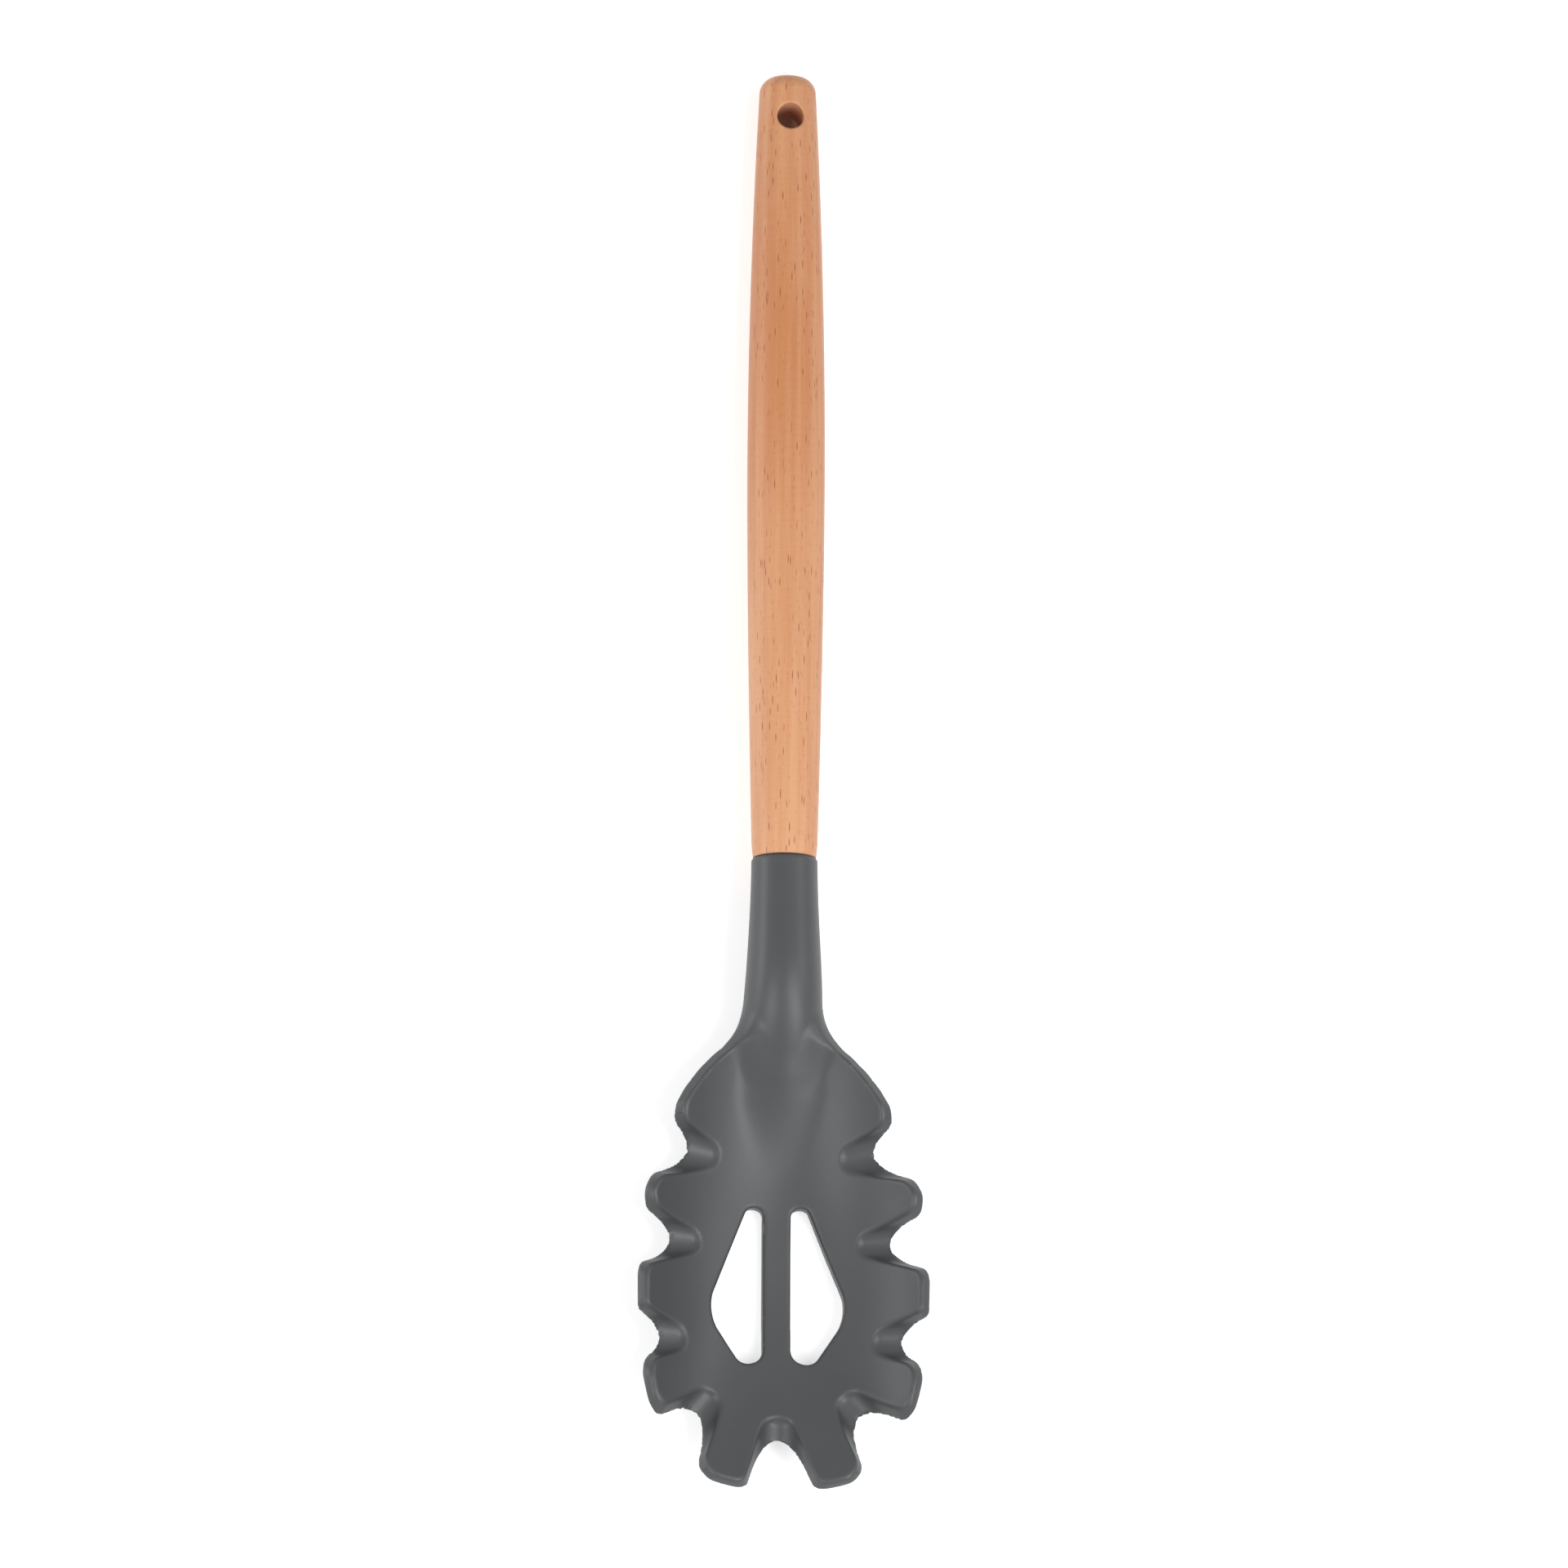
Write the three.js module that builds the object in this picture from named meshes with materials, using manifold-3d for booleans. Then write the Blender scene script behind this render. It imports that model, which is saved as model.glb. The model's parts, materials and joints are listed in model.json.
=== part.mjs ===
// A toothed pasta server: a silicone-covered head with two drain slots on a turned beech handle.
// Millimetres. It lies on its back, bowl open upwards: +X to its right, +Y along the handle, +Z up.
// The pieces are drawn about the handle's axis, with y = 0 at the collar, and then laid on the ground.
import * as THREE from 'three';
import { mergeVertices } from 'three/addons/utils/BufferGeometryUtils.js';
import Module from 'manifold-3d';

const wasm = await Module();
wasm.setup();

// Layers of the head, from the tenon in its socket outwards.
const tenonDiameter = 9;
const tenonLength = 30;
const tenonBevel = 0.8;
const glueFilm = 0.4;
const glueGap = 0.2;
const socketWall = 1.1;
const mouldGap = 0.3;
const skin = 0.9;
const bladeThickness = 1.6;
const bladeEdgeThickness = 0.8;
const seatGap = 0.3;

// Handle, measured along its axis from the collar.
const handleLength = 185;
const handleSwell = 2.7;
const handleSwellAt = 90;
const handleFootStep = 0.4;
const handleFootLength = 4;
const handleFootRise = 0.3;
const handleEndDiameter = 12.7;
const handleEndRound = 4.5;
const handleEndFlat = 4;
const holeDiameter = 6.2;
const holeSetback = 10.5;

// Neck of the head. Seen from above it swells, tips down and sinks into the bowl. Under it, a keel runs
// on into the bowl's back.
const neckLength = 36;
const neckSwell = 1.95;
const swellLength = 50;
const collarRound = 0.8;
const sinkFrom = 18;
const sinkLength = 34;
const sinkSlope = 0.85;
const sinkEnd = 60;
const backFrom = 26;
const backLength = 26;
const backDepth = 12;
const keelFrom = 18;
const keelTo = 68;
const keelTip = 3;

// Bowl: an oval dish. Its levels are heights above the handle's axis or above the bowl's floor.
const bowlBelowNeck = 3.1;
const bowlUpperLength = 54.7;
const bowlLowerLength = 51.4;
const bowlWidth = 65.2;
const bowlFloorDrop = 11.5;
const sideRise = 17.1;
const upperRise = 12.6;
const lowerRise = 11.5;
const upperSquareness = 1.92;
const lowerSquareness = 3.1;
const dishPower = 2.4;

// Gaps between the teeth, on the right of the bowl and at its tip. A gap is a channel that widens
// outwards and upwards. The point where it has its radius is measured from the bowl's centre, its
// turn is from +X, and its floor is above the bowl's floor there and rises outwards.
const gapFlare = 21.4;
const gapTaper = 10.5;
const gapRunIn = 12;
const gapRunOut = 30;
const gapHeight = 30;
const sideGaps = [
  { x: 17.8, y: 25.2, turn: 7.5, floor: 5.7, rise: 0.1, radius: 4.9 },
  { x: 20, y: 5.6, turn: 0, floor: 4.9, rise: 0.14, radius: 3.7 },
  { x: 22, y: -16.9, turn: -3.1, floor: 6.6, rise: 0.19, radius: 3.8 },
  { x: 17.3, y: -33.1, turn: -52.5, floor: 3.9, rise: 0, radius: 4.9 },
];
const tipGap = { x: 0, y: -39.2, turn: -90, floor: 2.6, rise: -0.09, radius: 5.2 };

// Drain slots, one each side of a bar along the bowl's centre line, placed from the bowl's centre.
const slotBar = 6.4;
const slotHeadAt = 14.8;
const slotHeadWidth = 3.5;
const slotWidestAt = -9.7;
const slotWidth = 13.2;
const slotFootAt = -20.4;
const slotFootWidth = 4.8;
const slotFootDrop = 2.1;
const slotCornerRadius = 1.8;

// Facets on round and curved surfaces.
const roundSteps = 36;
const neckSteps = 28;
const neckRings = 18;
const bowlSteps = 60;
const bowlRings = 6;
const arcSteps = 7;

// Sizes that follow from those above.
const tenonRadius = tenonDiameter / 2;
const glueInner = tenonRadius + glueGap;
const glueOuter = glueInner + glueFilm;
const socketRadius = glueOuter + glueGap;
const collarRadius = socketRadius + socketWall + mouldGap + skin;
const neckRadius = collarRadius + neckSwell;
const coreInset = skin + mouldGap;
const wall = bladeThickness + 2 * coreInset;
const rimWall = bladeEdgeThickness + 2 * coreInset;
const bowlCentre = -(neckLength + bowlBelowNeck + bowlUpperLength);
const bowlFloor = -bowlFloorDrop;
const middleLevel = bowlFloor - wall / 2;

const materials = {
  wood: new THREE.MeshStandardMaterial({ color: '#d09164', roughness: 0.55, metalness: 0 }),
  silicone: new THREE.MeshStandardMaterial({ color: '#55585a', roughness: 0.72, metalness: 0 }),
  nylon: new THREE.MeshStandardMaterial({ color: '#2c2e30', roughness: 0.5, metalness: 0 }),
  glue: new THREE.MeshStandardMaterial({ color: '#6a3f2b', roughness: 0.4, metalness: 0 }),
};

// A closed geometry as a solid that can be joined and cut.
function solidOf(geometry) {
  const bare = geometry.clone();
  bare.deleteAttribute('normal');
  bare.deleteAttribute('uv');
  const welded = mergeVertices(bare, 1e-4);
  const mesh = new wasm.Mesh({
    numProp: 3,
    vertProperties: new Float32Array(welded.attributes.position.array),
    triVerts: new Uint32Array(welded.index.array),
  });
  return new wasm.Manifold(mesh);
}

// A solid back as a geometry.
function geometryOf(solid) {
  const mesh = solid.getMesh();
  const geometry = new THREE.BufferGeometry();
  geometry.setAttribute('position', new THREE.BufferAttribute(mesh.vertProperties, 3));
  geometry.setIndex(new THREE.BufferAttribute(mesh.triVerts, 1));
  geometry.computeVertexNormals();
  return geometry;
}

// A closed skin over rings of points, with a fan to the middle of the first and the last ring.
function loft(rings) {
  const count = rings[0].length;
  const points = rings.flat();
  const triangles = [];
  for (let ring = 0; ring + 1 < rings.length; ring += 1) {
    for (let step = 0; step < count; step += 1) {
      const next = (step + 1) % count;
      const a = ring * count + step;
      const d = ring * count + next;
      triangles.push(a, a + count, d + count, a, d + count, d);
    }
  }
  for (const end of [0, rings.length - 1]) {
    const middle = new THREE.Vector3();
    rings[end].forEach((point) => middle.addScaledVector(point, 1 / count));
    const centre = points.push(middle) - 1;
    for (let step = 0; step < count; step += 1) {
      const a = end * count + step;
      const b = end * count + ((step + 1) % count);
      triangles.push(centre, end ? b : a, end ? a : b);
    }
  }
  const geometry = new THREE.BufferGeometry().setFromPoints(points);
  geometry.setIndex(triangles);
  return geometry;
}

// A solid turned about the handle's axis from [radius, y] pairs.
function turned(profile) {
  return new THREE.LatheGeometry(profile.map(([radius, y]) => new THREE.Vector2(radius, y)), roundSteps);
}

// Radius of the handle's side at a distance from the collar: a swell that falls off to both ends.
function handleRadius(distance) {
  const foot = collarRadius - handleFootStep + handleFootRise;
  const swell = collarRadius + handleSwell / 2;
  if (distance < handleSwellAt) {
    return swell - (swell - foot) * (1 - distance / handleSwellAt) ** 1.6;
  }
  const share = (distance - handleSwellAt) / (handleLength - handleSwellAt);
  return swell - (swell - handleEndDiameter / 2) * share ** 2;
}

// The turned handle with its tenon, shoulder, swell, rounded end and hanging hole.
function woodenHandle() {
  const profile = [
    [0, seatGap - tenonLength],
    [tenonRadius - tenonBevel, seatGap - tenonLength],
    [tenonRadius, seatGap - tenonLength + tenonBevel],
    [tenonRadius, seatGap],
    [collarRadius - handleFootStep, seatGap],
  ];
  const sideSteps = 18;
  const roundStart = handleLength - handleEndRound;
  for (let step = 0; step <= sideSteps; step += 1) {
    const distance = handleFootLength + ((roundStart - handleFootLength) * step) / sideSteps;
    profile.push([handleRadius(distance), distance]);
  }
  const flat = handleEndFlat / 2;
  const reach = handleRadius(roundStart) - flat;
  for (let step = 1; step <= 6; step += 1) {
    const angle = (Math.PI / 2) * (step / 6);
    profile.push([flat + reach * Math.cos(angle), roundStart + handleEndRound * Math.sin(angle)]);
  }
  profile.push([0, handleLength]);
  const hole = new THREE.CylinderGeometry(holeDiameter / 2, holeDiameter / 2, 4 * collarRadius, 24);
  hole.rotateX(Math.PI / 2);
  hole.translate(0, handleLength - holeSetback, 0);
  return geometryOf(solidOf(turned(profile)).subtract(solidOf(hole)));
}

// The film of adhesive round the tenon, a tube open at both ends.
function glueSleeve() {
  const low = seatGap - tenonLength;
  const high = -seatGap;
  return turned([[glueInner, low], [glueOuter, low], [glueOuter, high], [glueInner, high], [glueInner, low]]);
}

// Where a plan point lies in the bowl: 0 at the centre and 1 on the rim, and the middle layer's level.
function bowlPlace(x, y) {
  const upper = y > bowlCentre;
  const power = upper ? upperSquareness : lowerSquareness;
  const across = Math.abs(x) / (bowlWidth / 2);
  const along = Math.abs(y - bowlCentre) / (upper ? bowlUpperLength : bowlLowerLength);
  const radius = (across ** power + along ** power) ** (1 / power);
  const side = across ** 2 / (across ** 2 + along ** 2 || 1);
  const rise = sideRise * side + (upper ? upperRise : lowerRise) * (1 - side);
  return { radius, level: middleLevel + rise * radius ** dishPower };
}

// Rate of change of one of bowlPlace's values over the plan.
function bowlSlope(x, y, value) {
  const step = 0.01;
  const slopeX = (bowlPlace(x + step, y)[value] - bowlPlace(x - step, y)[value]) / (2 * step);
  const slopeY = (bowlPlace(x, y + step)[value] - bowlPlace(x, y - step)[value]) / (2 * step);
  return new THREE.Vector2(slopeX, slopeY);
}

// The bowl as a dish that thins towards its rim, drawn in by the inset on its faces and its rim.
function bowlDish(inset) {
  const spokes = [];
  for (let step = 0; step < bowlSteps; step += 1) {
    const angle = (2 * Math.PI * step) / bowlSteps;
    const power = Math.sin(angle) > 0 ? upperSquareness : lowerSquareness;
    const length = Math.sin(angle) > 0 ? bowlUpperLength : bowlLowerLength;
    const reach = (Math.abs(Math.cos(angle)) ** power + Math.abs(Math.sin(angle)) ** power) ** (-1 / power);
    const x = (bowlWidth / 2) * reach * Math.cos(angle);
    const y = length * reach * Math.sin(angle);
    const steepness = Math.hypot(1, bowlSlope(x, bowlCentre + y, 'level').length());
    const rim = 1 - (inset * bowlSlope(x, bowlCentre + y, 'radius').length()) / steepness;
    spokes.push({ x: x * rim, y: y * rim });
  }
  const ringAt = (share, face) => spokes.map((spoke) => {
    const x = spoke.x * share;
    const y = bowlCentre + spoke.y * share;
    const { radius, level } = bowlPlace(x, y);
    const half = (wall + (rimWall - wall) * radius ** 2) / 2 - inset;
    const slope = bowlSlope(x, y, 'level');
    const normal = new THREE.Vector3(-slope.x, -slope.y, 1).normalize();
    return new THREE.Vector3(x, y, level).addScaledVector(normal, face * half);
  });
  const shares = Array.from({ length: bowlRings }, (_, ring) => ((ring + 1) / bowlRings) ** 0.8);
  const top = shares.map((share) => ringAt(share, 1));
  const bottom = shares.map((share) => ringAt(share, -1));
  return loft([...top, ...bottom.reverse()]);
}

// Radius of the neck at a distance from the collar.
function neckRadiusAt(down) {
  return collarRadius + neckSwell * THREE.MathUtils.smoothstep(down, 0, swellLength);
}

// Round rings across the neck, from its lower end to its upper end, as a closed skin.
function roundLoft(stations) {
  return loft(stations.map(({ y, z, radius }) => Array.from({ length: neckSteps }, (_, step) => {
    const angle = (2 * Math.PI * step) / neckSteps;
    return new THREE.Vector3(radius * Math.cos(angle), y, z + radius * Math.sin(angle));
  })));
}

// The neck from the collar down to where it has sunk into the bowl, drawn in by the inset.
// The mouth is how far it runs past the collar's end.
function sinkingNeck(inset, mouth) {
  const stations = [];
  for (let step = neckRings; step >= 0; step -= 1) {
    const down = collarRound + (sinkEnd - collarRound) * (step / neckRings);
    const share = Math.max(0, (down - sinkFrom) / sinkLength);
    const fall = share < 1 ? share ** 3 - share ** 4 / 2 : share - 0.5;
    const steepness = Math.hypot(1, sinkSlope * THREE.MathUtils.smoothstep(share, 0, 1));
    const radius = neckRadiusAt(down) - inset * steepness;
    stations.push({ y: -down, z: -sinkSlope * sinkLength * fall, radius });
  }
  stations.push({ y: mouth, z: 0, radius: collarRadius - inset - (mouth ? 0 : collarRound / 2) });
  return roundLoft(stations);
}

// The keel under the neck, from its tip in the bowl's back up to the neck, drawn in by the inset.
function neckKeel(inset) {
  const root = neckRadiusAt(keelFrom);
  const foot = bowlPlace(0, -keelTo).level - wall / 2;
  const stations = [];
  for (let step = neckRings; step >= 0; step -= 1) {
    const share = step / neckRings;
    const radius = root + (keelTip - root) * share;
    const bottom = (foot + root) * share - root;
    const y = -keelFrom - (keelTo - keelFrom) * share;
    stations.push({ y, z: bottom + radius, radius: radius - inset });
  }
  return roundLoft(stations);
}

// A cutter for everything above (1) or below (-1) a layer at an offset from the bowl's middle layer.
function layerCutter(side, offsetAt) {
  const half = 2 * neckRadius;
  const edge = middleLevel + side * 5 * neckRadius;
  const far = keelTo + wall;
  const rings = [];
  for (let ring = 0; ring <= neckRings; ring += 1) {
    const down = far + (backFrom - far) * (ring / neckRings);
    const outline = [];
    for (let step = 0; step <= arcSteps; step += 1) {
      const x = side * half * ((2 * step) / arcSteps - 1);
      const steepness = Math.hypot(1, bowlSlope(x, -down, 'level').length());
      const level = bowlPlace(x, -down).level + offsetAt(down) * steepness;
      outline.push(new THREE.Vector3(x, -down, level));
    }
    outline.push(new THREE.Vector3(side * half, -down, edge), new THREE.Vector3(-side * half, -down, edge));
    rings.push(outline);
  }
  return solidOf(loft(rings));
}

// The whole neck: the front that sinks into the bowl, and the keel at its back.
function wholeNeck(inset, mouth) {
  const backEnd = backFrom + backLength;
  const under = (down) => inset - backDepth * (1 - THREE.MathUtils.smoothstep(down, backFrom, backEnd));
  const front = solidOf(sinkingNeck(inset, mouth)).subtract(layerCutter(-1, under));
  const keel = solidOf(neckKeel(inset)).subtract(layerCutter(1, () => -inset));
  return front.add(keel);
}

// A cutter for one gap between teeth: a round-bottomed channel with flared sides, along the gap's axis.
function gapCutter(gap, mirror, inset) {
  const flare = THREE.MathUtils.degToRad(gapFlare);
  const turn = THREE.MathUtils.degToRad(gap.turn);
  const widening = Math.tan(THREE.MathUtils.degToRad(gapTaper));
  const up = new THREE.Vector3(0, 0, 1);
  const along = new THREE.Vector3(mirror * Math.cos(turn), Math.sin(turn), 0);
  const across = new THREE.Vector3().crossVectors(up, along);
  const root = new THREE.Vector3(mirror * gap.x, bowlCentre + gap.y, bowlFloor + gap.floor);
  const ringAt = (distance) => {
    const radius = gap.radius + widening * distance;
    const grown = radius + inset;
    const outline = [];
    for (let step = 0; step <= arcSteps; step += 1) {
      const angle = -flare - ((Math.PI - 2 * flare) * step) / arcSteps;
      outline.push([grown * Math.cos(angle), radius + grown * Math.sin(angle)]);
    }
    const [edge, level] = outline[0];
    const top = edge + gapHeight * Math.tan(flare);
    outline.unshift([top, level + gapHeight]);
    outline.push([-top, level + gapHeight]);
    return outline.map(([side, height]) => root.clone().addScaledVector(along, distance)
      .addScaledVector(across, side).addScaledVector(up, height + gap.rise * distance));
  };
  return solidOf(loft([ringAt(-gapRunIn), ringAt(gapRunOut)]));
}

// Corners of an outline with every side moved outwards; the corners run anticlockwise.
function grownCorners(corners, distance) {
  const count = corners.length;
  const sides = corners.map((corner, index) => {
    const way = corners[(index + 1) % count].clone().sub(corner).normalize();
    const start = new THREE.Vector2(corner.x + way.y * distance, corner.y - way.x * distance);
    return { start, way };
  });
  return sides.map((side, index) => {
    const before = sides[(index + count - 1) % count];
    const apart = side.start.clone().sub(before.start);
    const reach = apart.cross(side.way) / before.way.cross(side.way);
    return before.start.clone().addScaledVector(before.way, reach);
  });
}

// A cutter for one drain slot: a five-sided opening with rounded corners, upright through the floor.
function slotCutter(mirror, inset) {
  const inner = slotBar / 2;
  const corners = grownCorners([
    new THREE.Vector2(inner, slotFootAt),
    new THREE.Vector2(inner + slotFootWidth, slotFootAt - slotFootDrop),
    new THREE.Vector2(inner + slotWidth, slotWidestAt),
    new THREE.Vector2(inner + slotHeadWidth, slotHeadAt),
    new THREE.Vector2(inner, slotHeadAt),
  ], inset);
  const shape = new THREE.Shape();
  corners.forEach((corner, index) => {
    const before = corners[(index + corners.length - 1) % corners.length];
    const after = corners[(index + 1) % corners.length];
    const shorter = Math.min(corner.distanceTo(before), corner.distanceTo(after));
    const cut = Math.min(slotCornerRadius + inset / 2, 0.48 * shorter);
    const from = corner.clone().add(before.clone().sub(corner).setLength(cut));
    const to = corner.clone().add(after.clone().sub(corner).setLength(cut));
    if (index === 0) {
      shape.moveTo(from.x, from.y);
    } else {
      shape.lineTo(from.x, from.y);
    }
    shape.quadraticCurveTo(corner.x, corner.y, to.x, to.y);
  });
  shape.closePath();
  const depth = 6 * wall;
  const slot = new THREE.ExtrudeGeometry(shape, { depth, bevelEnabled: false, curveSegments: 4 });
  slot.translate(0, bowlCentre, middleLevel - depth / 2);
  if (mirror < 0) {
    slot.rotateY(Math.PI);
    slot.translate(0, 0, 2 * middleLevel);
  }
  return solidOf(slot);
}

// The head's whole form, drawn in by the inset everywhere: bowl, neck, tooth gaps and drain slots.
function headForm(inset, mouth) {
  let form = solidOf(bowlDish(inset)).add(wholeNeck(inset, mouth));
  for (const mirror of [1, -1]) {
    for (const gap of sideGaps) {
      form = form.subtract(gapCutter(gap, mirror, inset));
    }
    form = form.subtract(slotCutter(mirror, inset));
  }
  return form.subtract(gapCutter(tipGap, 1, inset));
}

// The soft skin: the head's form with the core's room taken out of it, open at the collar.
function siliconeHead() {
  return geometryOf(headForm(0, 0).subtract(headForm(skin, 1)));
}

// The stiff core: blade, teeth and neck a mould gap inside the skin, with the socket for the tenon.
function headCore() {
  const depth = tenonLength + seatGap;
  const socket = new THREE.CylinderGeometry(socketRadius, socketRadius, 2 * depth, roundSteps);
  return geometryOf(headForm(coreInset, 0).subtract(solidOf(socket)));
}

// The turn about X that brings the bowl's belly and the handle's end down to one level.
function restTurn(head, handle) {
  const lowest = (geometry, turn) => {
    const position = geometry.attributes.position;
    let low = Infinity;
    for (let index = 0; index < position.count; index += 1) {
      low = Math.min(low, position.getY(index) * Math.sin(turn) + position.getZ(index) * Math.cos(turn));
    }
    return low;
  };
  let less = -0.3;
  let more = 0.3;
  for (let step = 0; step < 40; step += 1) {
    const turn = (less + more) / 2;
    if (lowest(handle, turn) > lowest(head, turn)) {
      more = turn;
    } else {
      less = turn;
    }
  }
  return less;
}

const server = new THREE.Group();
const pieces = {
  wooden_handle: [woodenHandle(), materials.wood],
  glue_sleeve: [glueSleeve(), materials.glue],
  head_core: [headCore(), materials.nylon],
  silicone_head: [siliconeHead(), materials.silicone],
};
for (const [name, [geometry, material]] of Object.entries(pieces)) {
  const mesh = new THREE.Mesh(geometry, material);
  mesh.name = name;
  server.add(mesh);
}
server.rotation.x = restTurn(pieces.silicone_head[0], pieces.wooden_handle[0]);
const extent = new THREE.Box3().setFromObject(server, true);
const middle = extent.getCenter(new THREE.Vector3());
server.position.set(-middle.x, -middle.y, -extent.min.z);

export default server;
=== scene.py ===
"""Looks of a pasta server: a slotted, toothed silicone head on a turned beech handle.

Metres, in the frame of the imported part. The head and the handle are shaped about the handle's axis:
x to the right, y along the handle with 0 at the collar, z up out of the bowl.
"""
import json
import math
from collections import namedtuple

import bpy
import numpy as np
from bpy.props import FloatProperty, FloatVectorProperty, IntProperty, PointerProperty
from mathutils import Matrix, Vector


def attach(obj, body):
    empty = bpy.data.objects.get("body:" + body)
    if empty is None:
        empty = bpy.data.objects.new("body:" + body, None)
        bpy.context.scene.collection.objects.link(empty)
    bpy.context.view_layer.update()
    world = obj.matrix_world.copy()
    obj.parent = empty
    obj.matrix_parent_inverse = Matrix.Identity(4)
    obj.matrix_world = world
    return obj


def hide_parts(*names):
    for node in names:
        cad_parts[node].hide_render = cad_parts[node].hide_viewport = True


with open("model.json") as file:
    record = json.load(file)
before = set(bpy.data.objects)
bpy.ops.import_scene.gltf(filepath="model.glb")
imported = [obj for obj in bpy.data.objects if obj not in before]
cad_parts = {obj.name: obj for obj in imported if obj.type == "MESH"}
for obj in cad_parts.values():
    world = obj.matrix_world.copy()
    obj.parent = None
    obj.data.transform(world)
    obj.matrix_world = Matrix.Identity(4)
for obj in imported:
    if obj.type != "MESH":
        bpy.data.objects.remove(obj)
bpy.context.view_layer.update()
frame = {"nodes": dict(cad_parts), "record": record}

bl_info = {
    "name": "Pasta server",
    "version": (1, 0, 0),
    "blender": (4, 5, 0),
    "location": "3D View > Sidebar > Server",
    "description": "Builds the looks of a silicone pasta server with a beech handle",
    "category": "Object",
}

PICTURE = 1920

mounts = {mount["name"]: mount for mount in frame["record"]["mounts"]}
slots = {entry["slot"]: entry for entry in frame["record"]["materials"]}
HOLE = mounts["hanging_hole"]
UP = Vector(HOLE["axis"])
ALONG = Vector(mounts["handle_butt"]["axis"])
RIGHT = ALONG.cross(UP)


def size(name, description, default, **limits):
    return FloatProperty(
        name=name, description=description, default=default, unit="LENGTH", precision=5, **limits
    )


def whole_number(name, description, default, least):
    return IntProperty(name=name, description=description, default=default, min=least)


def share(name, description, default):
    return FloatProperty(name=name, description=description, default=default, precision=3)


def colour(name, description, default):
    return FloatVectorProperty(
        name=name, description=description, default=default, size=3, subtype="COLOR", min=0, max=1
    )


class HandleSizes(bpy.types.PropertyGroup):
    """Sizes of the turned handle, measured along its axis from the collar."""

    length: size("Length", "Collar to hanging end", 0.185)
    foot_radius: size("Foot radius", "Radius that the lower curve starts from", 0.0075)
    foot_step: size("Foot step", "How much thinner the foot is at the collar", 0.0003)
    foot_length: size("Foot length", "Length over which the foot thins", 0.004)
    swell_radius: size("Swell radius", "Largest radius, where the hand holds it", 0.00895)
    swell_at: size("Swell place", "Distance of the swell from the collar", 0.09)
    end_radius: size("End radius", "Radius that the upper curve ends at", 0.00635)
    end_round: size("End round", "Length of the rounding at the hanging end", 0.0036)
    end_flat: size("End flat", "Radius of the flat at the hanging end", 0.003)
    seat: size("Seat", "Gap between the shoulder and the collar", 0.0003)
    tenon_radius: size("Tenon radius", "Radius of the tenon in the head", 0.0045)
    tenon_length: size("Tenon length", "Length of the tenon", 0.03)
    tenon_bevel: size("Tenon bevel", "Bevel at the tenon's end", 0.0008)
    hole_radius: size("Hole radius", "Radius of the hanging hole", HOLE["dims"]["r_mm"] / 1000)
    hole_setback: size("Hole setback", "Hole's middle from the hanging end", 0.0105)
    hole_round: size("Hole round", "Rounding of the hole's edge", 0.00045)
    rows: whole_number("Rows", "Rings of points along the handle", 360, 20)
    sides: whole_number("Sides", "Points in each ring", 192, 12)


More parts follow.
